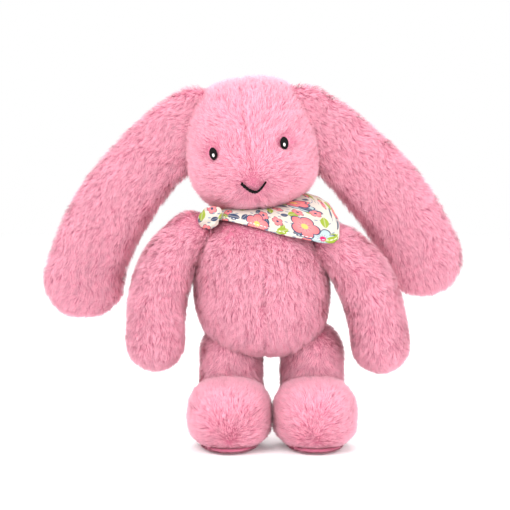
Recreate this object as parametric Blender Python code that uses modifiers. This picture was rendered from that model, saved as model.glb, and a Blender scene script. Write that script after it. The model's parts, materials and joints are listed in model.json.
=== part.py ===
"""A stuffed bunny rabbit that stands 300 mm tall, with long hanging ears.

Every plush part is a fur-fabric cover, open where it is sewn on, round its own
stuffing.  The bunny stands on the XY plane and looks along -Y; left and right
are its own, so its left side is at +X.  Covers are modelled to the middle of
the pile, so the tips of the fur stand about 4 mm further out.
"""

import bmesh
import bpy
from math import acos, atan2, cos, pi, radians, sin, sqrt
from mathutils import Matrix, Vector

LEFT, RIGHT = 1, -1
SIDE_NAME = {LEFT: "left", RIGHT: "right"}

# Puts the origin on the floor under the middle of the standing bunny.
STAND_AT = Vector((-0.00151, -0.00200, 0.0))

# Fabric, stuffing and the gaps between pieces.
WALL = 0.0040
EAR_WALL = 0.0026
GAP = 0.0006
SWING_GAP = 0.0016

# Head, about its own centre.
HEAD_CENTRE = Vector((-0.0016, 0.0, 0.244))
HEAD_HALF = Vector((0.0500, 0.0480, 0.0520))
CHEEK_SWELL = 0.12
JOWL_ROUNDNESS = 2.5
MUZZLE_REACH = 0.0030
HEAD_ROLL = radians(-8.5)
HEAD_YAW = radians(-3.0)
NECK = Vector((0.0030, 0.0, 0.1915))
NECK_HOLE = 0.0130
NECK_SEAM = 0.0105

# Face stitching, in the head's own frame.
EYE_AT = (0.0268, -0.0030)
EYE_HALF = Vector((0.0036, 0.0012, 0.0048))
GLINT_HALF = Vector((0.0012, 0.0006, 0.0014))
STITCH_LIFT = 0.0016
MOUTH_HALF_WIDTH = 0.0090
MOUTH_LOW = -0.0365
MOUTH_RISE = 0.0075
MOUTH_THREAD = 0.0008

# Torso: a pear between the neck and the seat.
TORSO_TOP = Vector((0.0040, 0.0, 0.1885))
TORSO_SEAT = Vector((0.0130, 0.0, 0.0785))
BELLY_HALF = Vector((0.0540, 0.0440))
SHOULDER_TAPER = 0.27
BELLY_ROUNDNESS = 2.4

# Ears: where they are sewn on, how far they hang out (angle from straight
# down, at root and tip) and how far they lean back.
EAR_LENGTH = {RIGHT: 0.2190, LEFT: 0.2130}
EAR_ROOT_RADIUS = 0.0215
EAR_TIP_RADIUS = 0.0340
EAR_TIP_HALF_WIDTH = 0.0315
EAR_HALF_DEPTH = 0.0080
EAR_ROOT = {
    RIGHT: Vector((-0.0470, -0.0060, 0.2620)),
    LEFT: Vector((0.0400, -0.0060, 0.2640)),
}
EAR_ANGLES = {RIGHT: (55, 8), LEFT: (58, 16)}
EAR_LEAN = {RIGHT: 15, LEFT: 17}
EAR_SLOT_RADIUS = 0.0275
EAR_LIFT = (0, 90)
EAR_FOLD = (-45, 45)
FOLD_SHARE = 0.55

# Arms, hung from ball-ended shoulders.
ARM_LENGTH = 0.1360
ARM_ROOT_RADIUS = 0.0185
ARM_TIP_RADIUS = 0.0210
ARM_HALF_WIDTH = 0.0212
ARM_ROOT = {
    RIGHT: Vector((-0.0500, -0.0140, 0.1720)),
    LEFT: Vector((0.0620, -0.0140, 0.1650)),
}
ARM_ANGLES = {RIGHT: (50, -3), LEFT: (60, 4)}
SHOULDER_RING = 0.0125

# Legs and feet.  The torso leaves room for the legs over LEG_SWING, in degrees.
LEG_X = {RIGHT: -0.0180, LEFT: 0.0485}
HIP_HEIGHT = 0.0735
LEG_Y = 0.0040
LEG_RADIUS = 0.0232
LEG_SWING = (-20, 60)
ANKLE_HEIGHT = 0.0440
ANKLE_SWING = (-15, 15)
FOOT_X = {RIGHT: -0.0190, LEFT: 0.0500}
FOOT_Y = -0.0200
FOOT_HALF = Vector((0.0310, 0.0430, 0.0280))
FOOT_CENTRE_HEIGHT = 0.0260
FOOT_ROUNDNESS = 2.4
SOLE_THICKNESS = 0.0026
SOLE_HALF = Vector((0.0200, 0.0280))

# Tail and weights.
TAIL_ROOT = Vector((0.0110, 0.0400, 0.1050))
TAIL_RADIUS = 0.0150
SEAT_BAG_HALF = Vector((0.0280, 0.0190, 0.0105))
SEAT_BAG_AT = Vector((-0.0010, 0.0175, 0.0340))
FOOT_BAG_HALF = Vector((0.0130, 0.0170, 0.0040))

# Neckerchief: a cotton triangle tied round the neck, its point over the left
# shoulder.  The knot is placed by its distance from the neck's axis and its
# height.  Angles run from the front (-Y) towards the left (+X).
CLOTH = 0.0010
SCARF_NECK_RADIUS = 0.0240
SCARF_NECK_HEIGHT = 0.1880
SCARF_SLOPE = 0.0040
SCARF_REACH = 0.0360
SCARF_FLAP_REACH = 0.0190
SCARF_FLAP_ANGLE = radians(30)
SCARF_BAND = 0.0140
SCARF_FLAP_DROP = 0.0380
KNOT_ANGLE = radians(-45)
KNOT_AT = (0.0290, 0.1842)
KNOT_HALF = Vector((0.0070, 0.0055, 0.0062))

PINK = (0.86, 0.33, 0.44, 1)
SOLE_PINK = (0.72, 0.22, 0.34, 1)
WHITE_FILL = (0.90, 0.90, 0.88, 1)
POUCH_LINEN = (0.80, 0.76, 0.68, 1)
BLACK_THREAD = (0.02, 0.015, 0.02, 1)
WHITE_THREAD = (0.90, 0.88, 0.88, 1)
PINK_THREAD = (0.78, 0.28, 0.40, 1)
PRINTED_COTTON = (0.90, 0.84, 0.78, 1)


# ---------------------------------------------------------------- scene setup
def clear_scene():
    for obj in list(bpy.data.objects):
        bpy.data.objects.remove(obj)


def collection(name, hidden=False):
    made = bpy.data.collections.new(name)
    bpy.context.scene.collection.children.link(made)
    made.hide_render = hidden
    return made


def material(name, colour, roughness):
    made = bpy.data.materials.new(name)
    made.use_nodes = True
    shader = made.node_tree.nodes["Principled BSDF"]
    shader.inputs["Base Color"].default_value = colour
    shader.inputs["Roughness"].default_value = roughness
    shader.inputs["Metallic"].default_value = 0.0
    return made


def add_object(name, data, home, parent=None, finish=None):
    """Puts data in the scene under its pivot and gives it its material."""
    obj = bpy.data.objects.new(name, data)
    home.objects.link(obj)
    if parent is not None:
        obj.parent = parent
    if finish is not None:
        data.materials.append(finish)
    return obj


def pivot(name, at, rotation=(0, 0, 0)):
    """An empty on a joint: the pieces of the moving body hang from it."""
    empty = bpy.data.objects.new(name, None)
    empty.empty_display_size = 0.01
    empty.location = at
    empty.rotation_euler = rotation
    empty.parent = stand
    bunny.objects.link(empty)
    return empty


# ------------------------------------------------------------- shape functions
def ease(t):
    """Rises smoothly from 0 to 1 as t goes from 0 to 1."""
    t = min(max(t, 0.0), 1.0)
    return t * t * (3 - 2 * t)


def face_outwards(bm):
    """Turns every face of a closed body outwards."""
    bmesh.ops.recalc_face_normals(bm, faces=bm.faces)
    if bm.calc_volume(signed=True) < 0:
        bmesh.ops.reverse_faces(bm, faces=bm.faces)
    return bm


def reshaped_sphere(segments, rings, place):
    """A unit sphere whose points are moved by place(unit_point)."""
    bm = bmesh.new()
    bmesh.ops.create_uvsphere(bm, u_segments=segments, v_segments=rings, radius=1)
    for vert in bm.verts:
        vert.co = place(vert.co.copy())
    return face_outwards(bm)


class Limb:
    """A flattened tube along a bending line in its own XZ plane, round-ended.

    The joint is the local origin and the centre of the root's round end.  The
    line hangs down and leans out to `side` by an angle that eases from root
    to tip.  Surfaces inside or outside it are made with an inset.
    """

    STEPS = 48

    def __init__(self, side, length, angles, root_radius, tip_radius, half_width,
                 half_depth, bend_power=1.0):
        self.side = side
        self.length = length
        self.angles = [radians(a) for a in angles]
        self.root_radius = root_radius
        self.tip_radius = tip_radius
        self.half_width = half_width
        self.half_depth = half_depth
        self.bend_power = bend_power
        step = (length - root_radius) / self.STEPS
        self.line = [Vector((0, 0, 0))]
        for i in range(self.STEPS):
            self.line.append(self.line[-1] + step * self.direction((i + 0.5) / self.STEPS))

    def angle(self, share):
        """Lean of the line, at a share of the way from the joint to the tip."""
        root, tip = self.angles
        left = (1 - min(max(share, 0.0), 1.0)) ** self.bend_power
        return tip + (root - tip) * left

    def direction(self, share):
        a = self.angle(share)
        return Vector((self.side * sin(a), 0, -cos(a)))

    def across(self, share):
        a = self.angle(share)
        return Vector((self.side * cos(a), 0, sin(a)))

    def share_at(self, distance):
        return (distance - self.root_radius) / (self.length - self.root_radius)

    def centre(self, distance):
        """Point of the line, at a distance from the root's end."""
        share = self.share_at(distance)
        if share <= 0:
            return self.direction(0) * (distance - self.root_radius)
        place = min(share, 1.0) * self.STEPS
        i = min(int(place), self.STEPS - 1)
        return self.line[i].lerp(self.line[i + 1], place - i)

    def station(self, turn, inset):
        """Distance along the limb and roundness there, turn running 0 to pi."""
        root, tip = self.root_radius - inset, self.tip_radius - inset
        third = pi / 3
        if turn < third:
            beta = turn / third * pi / 2
            return self.root_radius - root * cos(beta), sin(beta)
        if turn > 2 * third:
            beta = (pi - turn) / third * pi / 2
            return self.length - self.tip_radius + tip * cos(beta), sin(beta)
        share = (turn - third) / third
        straight = self.length - self.root_radius - self.tip_radius
        return self.root_radius + share * straight, 1.0

    def place(self, unit, inset):
        distance, roundness = self.station(acos(max(-1.0, min(1.0, unit.z))), inset)
        around = atan2(unit.y, unit.x)
        share = self.share_at(distance)
        width, depth = self.half_width(share) - inset, self.half_depth(share) - inset
        flat = cos(around) * (1.5 - 0.5 * cos(around) ** 2)
        sideways = (width - depth) * flat + depth * cos(around)
        return (
            self.centre(distance)
            + self.across(share) * (sideways * roundness)
            + Vector((0, sin(around) * roundness * depth, 0))
        )

    def mesh(self, segments, rings, inset=0.0):
        return reshaped_sphere(segments, rings, lambda unit: self.place(unit, inset))


def level_spread(unit, roundness):
    """How much wider than a sphere's a level section is; 2 gives the sphere's."""
    flat = sqrt(max(1 - unit.z**2, 0.0))
    if flat < 1e-6:
        return 0.0
    return (1 - abs(unit.z) ** roundness) ** (1 / roundness) / flat


def head_spread(unit_z):
    """Width of a level section of the head, against a sphere's."""
    jowl = level_spread(Vector((0, 0, unit_z)), JOWL_ROUNDNESS) if unit_z < 0 else 1.0
    return (1 - CHEEK_SWELL * unit_z) * jowl


def head_place(unit, inset=0.0):
    """The head about its centre: wide cheeks below, a low muzzle in front."""
    half = HEAD_HALF - Vector((inset, inset, inset))
    spread = head_spread(unit.z)
    point = Vector((unit.x * half.x * spread, unit.y * half.y * spread, unit.z * half.z))
    near_mouth = ease(1 - sqrt(unit.x**2 + (unit.z + 0.45) ** 2) / 0.75)
    if unit.y < 0:
        point.y -= MUZZLE_REACH * near_mouth
    return point


def face_point(x, z, lift=0.0):
    """Point of the head's front surface over (x, z), lifted off it along -Y."""
    unit_z = z / HEAD_HALF.z
    unit_x = x / (HEAD_HALF.x * head_spread(unit_z))
    unit = Vector((unit_x, -sqrt(1 - unit_x**2 - unit_z**2), unit_z))
    return head_place(unit) + lift * unit


def face_turn(x, z):
    """Rotation that turns a flat stitch facing -Y to face off the head there."""
    point = face_point(x, z)
    normal = Vector((point.x / HEAD_HALF.x**2, point.y / HEAD_HALF.y**2, point.z / HEAD_HALF.z**2))
    return Vector((0, -1, 0)).rotation_difference(normal.normalized()).to_matrix().to_4x4()


def torso_place(unit, inset=0.0):
    """The torso about its seat, the lowest point of the pear."""
    half_height = (TORSO_TOP.z - TORSO_SEAT.z) / 2
    height = half_height + (half_height - inset) * unit.z
    spread = level_spread(unit, BELLY_ROUNDNESS)
    taper = 1 - SHOULDER_TAPER * ease((unit.z + 0.2) / 1.1)
    lean = (TORSO_TOP - TORSO_SEAT) * (height / (2 * half_height))
    return Vector((
        lean.x + unit.x * spread * taper * (BELLY_HALF.x - inset),
        unit.y * spread * taper * (BELLY_HALF.y - inset),
        height,
    ))


def foot_place(unit, inset=0.0):
    """A foot about its centre, flat underneath where the sole goes."""
    half = FOOT_HALF - Vector((inset, inset, inset))
    spread = level_spread(unit, FOOT_ROUNDNESS)
    point = Vector((unit.x * half.x * spread, unit.y * half.y * spread, unit.z * half.z))
    floor = SOLE_THICKNESS + GAP / 2 + inset - FOOT_CENTRE_HEIGHT
    point.z = max(point.z, floor)
    return point


def ellipsoid(half, segments=16, rings=10):
    return reshaped_sphere(
        segments, rings, lambda unit: Vector((unit.x * half.x, unit.y * half.y, unit.z * half.z))
    )


# ------------------------------------------------------------- object builders
def add_mesh(name, bm, home, parent=None, finish=None):
    mesh = bpy.data.meshes.new(name)
    bm.to_mesh(mesh)
    bm.free()
    mesh.shade_smooth()
    mesh.set_sharp_from_angle(angle=radians(50))
    return add_object(name, mesh, home, parent, finish)


def add_cover(name, form, parent, wall, opening=None):
    """A fabric cover cut out of its form; form(inset) is the form or its inside."""
    cover = add_mesh(name, form(0.0), bunny, parent, fur)
    inside = collection("inside_" + name, hidden=True)
    add_cutter("inside_of_" + name, form(wall), parent, inside)
    if opening is not None:
        add_cutter("opening_of_" + name, opening, parent, inside)
    cut(cover, inside)
    return cover


def sewn_opening(radius, depth, at, turn=Matrix.Identity(4)):
    """A short round plug, along Z before it is turned, that opens a cover."""
    plug = bmesh.new()
    bmesh.ops.create_cone(
        plug, segments=10, radius1=radius, radius2=radius, depth=depth, cap_ends=True
    )
    return turned(plug, Matrix.Translation(at) @ turn)


def add_filling(name, bm, parent):
    return add_mesh(name, bm, bunny, parent, stuffing)


def add_cutter(name, bm, parent, home):
    cutter = add_mesh(name, bm, home, parent)
    cutter.hide_render = True
    cutter.display_type = "WIRE"
    return cutter


def cut(target, cutters_from):
    """Takes everything in the collection of cutters away from target."""
    modifier = target.modifiers.new("cut_" + cutters_from.name, "BOOLEAN")
    modifier.operation = "DIFFERENCE"
    modifier.operand_type = "COLLECTION"
    modifier.collection = cutters_from
    modifier.solver = "EXACT"


def steps(low, high, count):
    return [low + (high - low) * i / (count - 1) for i in range(count)]


def turned(bm, matrix):
    bmesh.ops.transform(bm, matrix=matrix, verts=bm.verts)
    return bm


# ----------------------------------------------------------------- sub-parts
def build_head():
    """Head cover and stuffing, the neck seam, and the stitched face."""
    neck = pivot("neck_pivot", NECK, (0, HEAD_ROLL, HEAD_YAW))
    neck_to_head = neck.rotation_euler.to_matrix().inverted() @ (HEAD_CENTRE - NECK)
    move = Matrix.Translation(neck_to_head)

    def form(inset):
        return turned(reshaped_sphere(18, 12, lambda unit: head_place(unit, inset)), move)

    cover = add_cover(
        "head_cover", form, neck, WALL, sewn_opening(NECK_HOLE, 4 * WALL, (0, 0, WALL))
    )
    filling = add_filling("head_stuffing", form(WALL + GAP), neck)
    ring_pivot = pivot("neck_ring_pivot", NECK)
    ring = add_object("neck_seam", seam_ring("neck_seam", NECK_SEAM, 0.0011), bunny, ring_pivot)
    ring.location.z = -0.0038
    for side in (LEFT, RIGHT):
        build_eye(side, neck, move)
    build_mouth(neck, move)
    return cover, filling


def seam_ring(name, radius, thread):
    """The ring of thread and turned-in fabric round a sewn joint, about Z."""
    bm = bmesh.new()
    bmesh.ops.create_circle(bm, segments=5, radius=thread)
    bmesh.ops.rotate(bm, verts=bm.verts, matrix=Matrix.Rotation(pi / 2, 3, "X"))
    bmesh.ops.translate(bm, verts=bm.verts, vec=(radius, 0, 0))
    bmesh.ops.spin(
        bm, geom=bm.edges[:], axis=(0, 0, 1), cent=(0, 0, 0), angle=2 * pi, steps=16,
        use_merge=True,
    )
    bmesh.ops.remove_doubles(bm, verts=bm.verts, dist=1e-6)
    face_outwards(bm)
    mesh = bpy.data.meshes.new(name)
    bm.to_mesh(mesh)
    bm.free()
    mesh.shade_smooth()
    mesh.materials.append(seam_thread)
    return mesh


def build_eye(side, neck, move):
    """A satin-stitched eye and the white stitch that is its glint."""
    x, z = side * EYE_AT[0], EYE_AT[1]
    name = SIDE_NAME[side]
    turn = face_turn(x, z)
    at = Matrix.Translation(face_point(x, z, STITCH_LIFT))
    eye = turned(ellipsoid(EYE_HALF, 10, 6), move @ at @ turn)
    add_mesh("eye_" + name, eye, bunny, neck, black)
    glint_x = x - side * 0.0010
    out = Matrix.Translation(face_point(glint_x, z - 0.0010, STITCH_LIFT + 0.0022))
    add_mesh(
        "eye_glint_" + name,
        turned(ellipsoid(GLINT_HALF, 8, 5), move @ out @ turn),
        bunny,
        neck,
        white,
    )


def build_mouth(neck, move):
    """The smile: one thread along a rounded V."""
    curve = bpy.data.curves.new("mouth", "CURVE")
    curve.dimensions = "3D"
    curve.bevel_depth = MOUTH_THREAD
    curve.bevel_resolution = 1
    curve.use_fill_caps = True
    spline = curve.splines.new("POLY")
    shares = steps(-1, 1, 7)
    spline.points.add(len(shares) - 1)
    for point, share in zip(spline.points, shares, strict=True):
        rise = MOUTH_RISE * (sqrt(share**2 + 0.04) - 0.2)
        at = move @ face_point(share * MOUTH_HALF_WIDTH, MOUTH_LOW + rise, STITCH_LIFT)
        point.co = (*at, 1)
    add_object("mouth", curve, bunny, neck, black)


def build_torso():
    seat = pivot("seat_pivot", TORSO_SEAT)
    neck_hole = TORSO_TOP - TORSO_SEAT

    def form(inset):
        return reshaped_sphere(18, 12, lambda unit: torso_place(unit, inset))

    cover = add_cover(
        "torso_cover", form, seat, WALL, sewn_opening(NECK_HOLE, 4 * WALL, neck_hole)
    )
    filling = add_filling("torso_stuffing", form(WALL + GAP), seat)
    bag = add_mesh("seat_bean_bag", ellipsoid(SEAT_BAG_HALF, 10, 6), bunny, seat, linen)
    bag.location = SEAT_BAG_AT
    hole = add_cutter(
        "seat_bag_hole",
        ellipsoid(SEAT_BAG_HALF + 2 * Vector((GAP, GAP, GAP)), 10, 6),
        seat,
        seat_bag_cutters,
    )
    hole.location = bag.location
    return cover, filling


def ear_limb(side):
    def half_width(share):
        widening = ease((share - 0.05) / 0.65)
        return EAR_ROOT_RADIUS + (EAR_TIP_HALF_WIDTH - EAR_ROOT_RADIUS) * widening

    def half_depth(share):
        return EAR_HALF_DEPTH

    return Limb(side, EAR_LENGTH[side], EAR_ANGLES[side], EAR_ROOT_RADIUS, EAR_TIP_RADIUS,
                half_width, half_depth)


def fold_frame(limb):
    """Matrix at the fold: X runs down the ear, Z across it, Y through it."""
    distance = limb.length * FOLD_SHARE
    share = limb.share_at(distance)
    down, across = limb.direction(share), limb.across(share) * limb.side
    frame = Matrix((down, Vector((0, 1, 0)), across)).transposed().to_4x4()
    frame.translation = limb.centre(distance)
    return frame


def build_ear(side):
    """An ear in two halves that meet at the fold, and the slot it needs."""
    name = SIDE_NAME[side]
    limb = ear_limb(side)
    lean = (radians(EAR_LEAN[side]), 0, 0)
    root = pivot(f"ear_pivot_{name}", EAR_ROOT[side], lean)
    frame = fold_frame(limb)
    fold = pivot(f"ear_fold_pivot_{name}", (0, 0, 0))
    fold.parent = root
    fold.matrix_local = Matrix.Translation(frame.translation)

    for half, keep in (("base", 1), ("tip", -1)):
        home = collection(f"ear_fold_cutters_{half}_{name}", hidden=True)
        for slope in (1, -1):
            box = bmesh.new()
            bmesh.ops.create_cube(box, size=0.30)
            bmesh.ops.translate(box, verts=box.verts, vec=(keep * (0.15 - GAP), 0, 0))
            angle = radians(slope * EAR_FOLD[1] / 2)
            turned(box, frame @ Matrix.Rotation(angle, 4, "Z"))
            add_cutter(f"ear_fold_plane_{half}_{name}_{slope}", box, root, home)
        parent = root if half == "base" else fold
        back = Matrix.Identity(4) if half == "base" else Matrix.Translation(-frame.translation)

        def form(inset, back=back):
            return turned(limb.mesh(12, 15, inset), back)

        cover = add_cover(f"ear_cover_{half}_{name}", form, parent, EAR_WALL)
        cut(cover, home)
        padding = form(EAR_WALL + GAP)
        cut(add_filling(f"ear_padding_{half}_{name}", padding, parent), home)

    build_ear_slot(name, side, limb, root)


def build_ear_slot(name, side, limb, root):
    """The room in the head for the ear's root, hanging and lifted."""
    for angle in EAR_LIFT:
        blade = limb.mesh(12, 12, -SWING_GAP)
        turned(blade, Matrix.Rotation(radians(-side * angle), 4, "Y"))
        add_cutter(f"ear_slot_{name}_{angle}", blade, root, ear_slot_cutters)
    disc = bmesh.new()
    thickness = 2 * (EAR_HALF_DEPTH + SWING_GAP)
    bmesh.ops.create_cone(disc, segments=24, radius1=EAR_SLOT_RADIUS, radius2=EAR_SLOT_RADIUS,
                          depth=thickness, cap_ends=True)
    turned(disc, Matrix.Rotation(pi / 2, 4, "X"))
    add_cutter(f"ear_slot_{name}", disc, root, ear_slot_cutters)


def arm_limb(side):
    def half_width(share):
        return ARM_ROOT_RADIUS + (ARM_HALF_WIDTH - ARM_ROOT_RADIUS) * ease(share / 0.4)

    return Limb(side, ARM_LENGTH, ARM_ANGLES[side], ARM_ROOT_RADIUS, ARM_TIP_RADIUS,
                half_width, half_width, bend_power=2.0)


def build_arm(side):
    """An arm, its shoulder seam, and the side of the torso it swings past."""
    name = SIDE_NAME[side]
    limb = arm_limb(side)
    shoulder = pivot(f"shoulder_pivot_{name}", ARM_ROOT[side])
    opening = sewn_opening(
        SHOULDER_RING * 0.7, 2 * WALL, (-side * (ARM_ROOT_RADIUS - WALL / 2), 0, 0),
        Matrix.Rotation(pi / 2, 4, "Y"),
    )
    add_cover(
        f"arm_cover_{name}", lambda inset: limb.mesh(12, 12, inset), shoulder, WALL, opening
    )
    add_filling(f"arm_stuffing_{name}", limb.mesh(12, 12, WALL + GAP), shoulder)
    ring = add_object(
        f"shoulder_seam_{name}",
        seam_ring(f"shoulder_seam_{name}", SHOULDER_RING, 0.0010),
        bunny,
        shoulder,
    )
    ring.rotation_euler.y = pi / 2
    away = sqrt(ARM_ROOT_RADIUS**2 - SHOULDER_RING**2)
    ring.location.x = -side * (away + 0.0022)

    add_cutter(f"arm_swing_{name}", swing_room(limb), shoulder, torso_cutters)


def swing_room(limb):
    """What the limb's inner side sweeps as it swings about the X axis, turned."""
    shape = limb.mesh(16, 24)
    points = [(sqrt(v.co.y**2 + v.co.z**2), -limb.side * v.co.x) for v in shape.verts]
    shape.free()
    rings = [0.0] + steps(0.006, 0.090, 8)
    profile = bmesh.new()
    corners = []
    for i, radius in enumerate(rings):
        low, high = rings[max(i - 1, 0)], rings[min(i + 1, len(rings) - 1)]
        reach = max(inward for r, inward in points if low <= r <= high) + SWING_GAP
        corners.append(profile.verts.new((-limb.side * reach, 0, radius)))
    for radius in (rings[-1], 0.0):
        corners.append(profile.verts.new((limb.side * ARM_LENGTH, 0, radius)))
    for first, second in zip(corners, corners[1:]):
        profile.edges.new((first, second))
    bmesh.ops.spin(
        profile, geom=profile.verts[:] + profile.edges[:], axis=(1, 0, 0), cent=(0, 0, 0),
        angle=2 * pi, steps=20, use_merge=True,
    )
    bmesh.ops.remove_doubles(profile, verts=profile.verts, dist=1e-6)
    return face_outwards(profile)


def leg_room_place(unit, drop):
    """What a leg sweeps about the hip: a pie sector thickened by the leg's radius."""
    normal = Vector((unit.z, unit.x, unit.y))
    low, high = (radians(angle) for angle in LEG_SWING)
    facing = atan2(-normal.y, -normal.z)
    if low <= facing <= high:
        ends = [facing]
    else:
        ends = [low, high]
    corners = [Vector((0, 0, 0))] + [drop * Vector((0, -sin(a), -cos(a))) for a in ends]
    furthest = max(corners, key=lambda corner: corner.dot(normal))
    return furthest + (LEG_RADIUS + SWING_GAP) * normal


def build_leg(side):
    """A leg, and the room in the torso it swings in."""
    name = SIDE_NAME[side]
    drop = HIP_HEIGHT - ANKLE_HEIGHT
    limb = Limb(side, drop + 2 * LEG_RADIUS, (0, 0), LEG_RADIUS, LEG_RADIUS,
                lambda share: LEG_RADIUS, lambda share: LEG_RADIUS)
    hip_at = Vector((LEG_X[side], LEG_Y, HIP_HEIGHT))
    hip = pivot(f"hip_pivot_{name}", hip_at)
    add_cover(
        f"leg_cover_{name}", lambda inset: limb.mesh(12, 9, inset), hip, WALL,
        sewn_opening(LEG_RADIUS / 2, 3 * WALL, (0, 0, LEG_RADIUS - WALL / 2)),
    )
    add_filling(f"leg_stuffing_{name}", limb.mesh(12, 9, WALL + GAP), hip)
    room = reshaped_sphere(18, 9, lambda unit: leg_room_place(unit, drop))
    add_cutter(f"leg_swing_{name}", room, hip, torso_cutters)


def build_foot(side):
    """A foot, hollowed for the leg's round end, with its bag of beans and its sole."""
    name = SIDE_NAME[side]
    ankle_at = Vector((LEG_X[side], LEG_Y, ANKLE_HEIGHT))
    ankle = pivot(f"ankle_pivot_{name}", ankle_at)
    home = collection(f"ankle_cutters_{name}", hidden=True)
    add_cutter(f"ankle_swing_{name}", ankle_socket(), ankle, home)
    move = Matrix.Translation(
        Vector((FOOT_X[side], FOOT_Y, FOOT_CENTRE_HEIGHT)) - ankle_at
    )

    def form(inset):
        return turned(reshaped_sphere(14, 10, lambda unit: foot_place(unit, inset)), move)

    cover = add_cover(f"foot_cover_{name}", form, ankle, WALL)
    cut(cover, home)
    filling = add_filling(f"foot_stuffing_{name}", form(WALL + GAP), ankle)
    cut(filling, home)
    bag_height = SOLE_THICKNESS + WALL + FOOT_BAG_HALF.z + 3 * GAP
    bag_at = Vector((FOOT_X[side], FOOT_Y - 0.006, bag_height))
    bag = add_mesh(f"foot_bean_bag_{name}", ellipsoid(FOOT_BAG_HALF, 10, 6), bunny, ankle, linen)
    bag.location = bag_at - ankle_at
    bags = collection(f"foot_bag_cutters_{name}", hidden=True)
    room = ellipsoid(FOOT_BAG_HALF + Vector((GAP, GAP, GAP)), 10, 6)
    hole = add_cutter(f"foot_bag_hole_{name}", room, ankle, bags)
    hole.location = bag.location
    way_out = sewn_opening(FOOT_BAG_HALF.x / 2, 2 * FOOT_BAG_HALF.z, (0, 0, -FOOT_BAG_HALF.z))
    add_cutter(f"foot_bag_way_out_{name}", way_out, hole, bags)
    cut(filling, bags)
    build_sole(side, ankle, ankle_at)


def ankle_socket():
    """A bowl round the ankle that opens upward into a cone, spun about Z."""
    radius = LEG_RADIUS + 1.4 * SWING_GAP
    height = 0.030
    profile = bmesh.new()
    corners = [(radius * sin(angle), -radius * cos(angle)) for angle in steps(0, pi / 2, 9)]
    corners.append((radius + height * sin(radians(ANKLE_SWING[1])) * 1.15, height))
    corners.append((0, height))
    verts = [profile.verts.new((x, 0, z)) for x, z in corners]
    for first, second in zip(verts, verts[1:]):
        profile.edges.new((first, second))
    bmesh.ops.spin(
        profile, geom=profile.verts[:] + profile.edges[:], axis=(0, 0, 1), cent=(0, 0, 0),
        angle=2 * pi, steps=20, use_merge=True,
    )
    bmesh.ops.remove_doubles(profile, verts=profile.verts, dist=1e-6)
    return face_outwards(profile)


def build_sole(side, ankle, ankle_at):
    """The short-pile panel the foot stands on."""
    bpy.ops.mesh.primitive_cylinder_add(vertices=22, radius=1, depth=SOLE_THICKNESS)
    sole = bpy.context.object
    sole.name = f"sole_{SIDE_NAME[side]}"
    sole.data.transform(Matrix.Diagonal((SOLE_HALF.x, SOLE_HALF.y, 1, 1)))
    for home in sole.users_collection:
        home.objects.unlink(sole)
    bunny.objects.link(sole)
    sole.parent = ankle
    sole.location = Vector((FOOT_X[side], FOOT_Y, SOLE_THICKNESS / 2)) - ankle_at
    sole.data.materials.append(short_fur)
    edge = sole.modifiers.new("rounded_edge", "BEVEL")
    edge.width = 0.0007
    edge.segments = 1
    edge.limit_method = "ANGLE"
    sole.data.shade_smooth()
    sole.data.set_sharp_from_angle(angle=radians(40))


def build_tail():
    root = pivot("tail_pivot", TAIL_ROOT)
    reach = Matrix.Translation((0, TAIL_RADIUS * 0.8, 0))

    def ball(inset):
        size = TAIL_RADIUS - inset
        return turned(ellipsoid(Vector((size, size, size)), 12, 8), reach)

    opening = sewn_opening(TAIL_RADIUS / 2, 3 * WALL, (0, 0, 0), Matrix.Rotation(pi / 2, 4, "X"))
    add_cover("tail_cover", ball, root, WALL, opening)
    add_filling("tail_stuffing", ball(WALL + GAP), root)
    add_cutter("tail_seat", ball(-GAP), root, tail_cutters)


def near_flap(angle, spread):
    """1 at the neckerchief's point, falling to 0 at `spread` away from it."""
    away = (angle - SCARF_FLAP_ANGLE + pi) % (2 * pi) - pi
    return ease(1 - abs(away) / spread)


def scarf_place(angle, share):
    """Point of the neckerchief: round the neck by angle, down it by share."""
    reach = SCARF_REACH + SCARF_FLAP_REACH * near_flap(angle, radians(50)) - SCARF_NECK_RADIUS
    along = share * (SCARF_BAND + SCARF_FLAP_DROP * near_flap(angle, radians(60)) ** 0.8)
    out = min(along, reach)
    radius = SCARF_NECK_RADIUS + out
    height = SCARF_NECK_HEIGHT - SCARF_SLOPE * out / SCARF_REACH - (along - out) - NECK.z
    return Vector((radius * sin(angle), -radius * cos(angle), height))


def build_scarf():
    root = pivot("neckerchief_pivot", NECK)
    around, down = 30, 5
    bm = bmesh.new()
    bmesh.ops.create_grid(bm, x_segments=around, y_segments=down, size=0.5)
    for vert in bm.verts:
        vert.co = scarf_place(KNOT_ANGLE + (vert.co.x + 0.5) * 2 * pi, 0.5 - vert.co.y)
    bmesh.ops.remove_doubles(bm, verts=bm.verts, dist=1e-6)
    bmesh.ops.recalc_face_normals(bm, faces=bm.faces)
    cloth = add_mesh("neckerchief", bm, bunny, root, cotton)
    thick = cloth.modifiers.new("cloth", "SOLIDIFY")
    thick.thickness = CLOTH
    thick.offset = 0

    radius, height = KNOT_AT
    knot_at = Vector((radius * sin(KNOT_ANGLE), -radius * cos(KNOT_ANGLE), height - NECK.z))
    move = Matrix.Translation(knot_at)
    add_mesh("neckerchief_knot", turned(ellipsoid(KNOT_HALF, 10, 7), move), bunny, root, cotton)
    room = collection("knot_room", hidden=True)
    size = KNOT_HALF + Vector((GAP, GAP, GAP))
    add_cutter("knot_room_in_cloth", turned(ellipsoid(size, 10, 7), move), root, room)
    cut(cloth, room)


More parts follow.
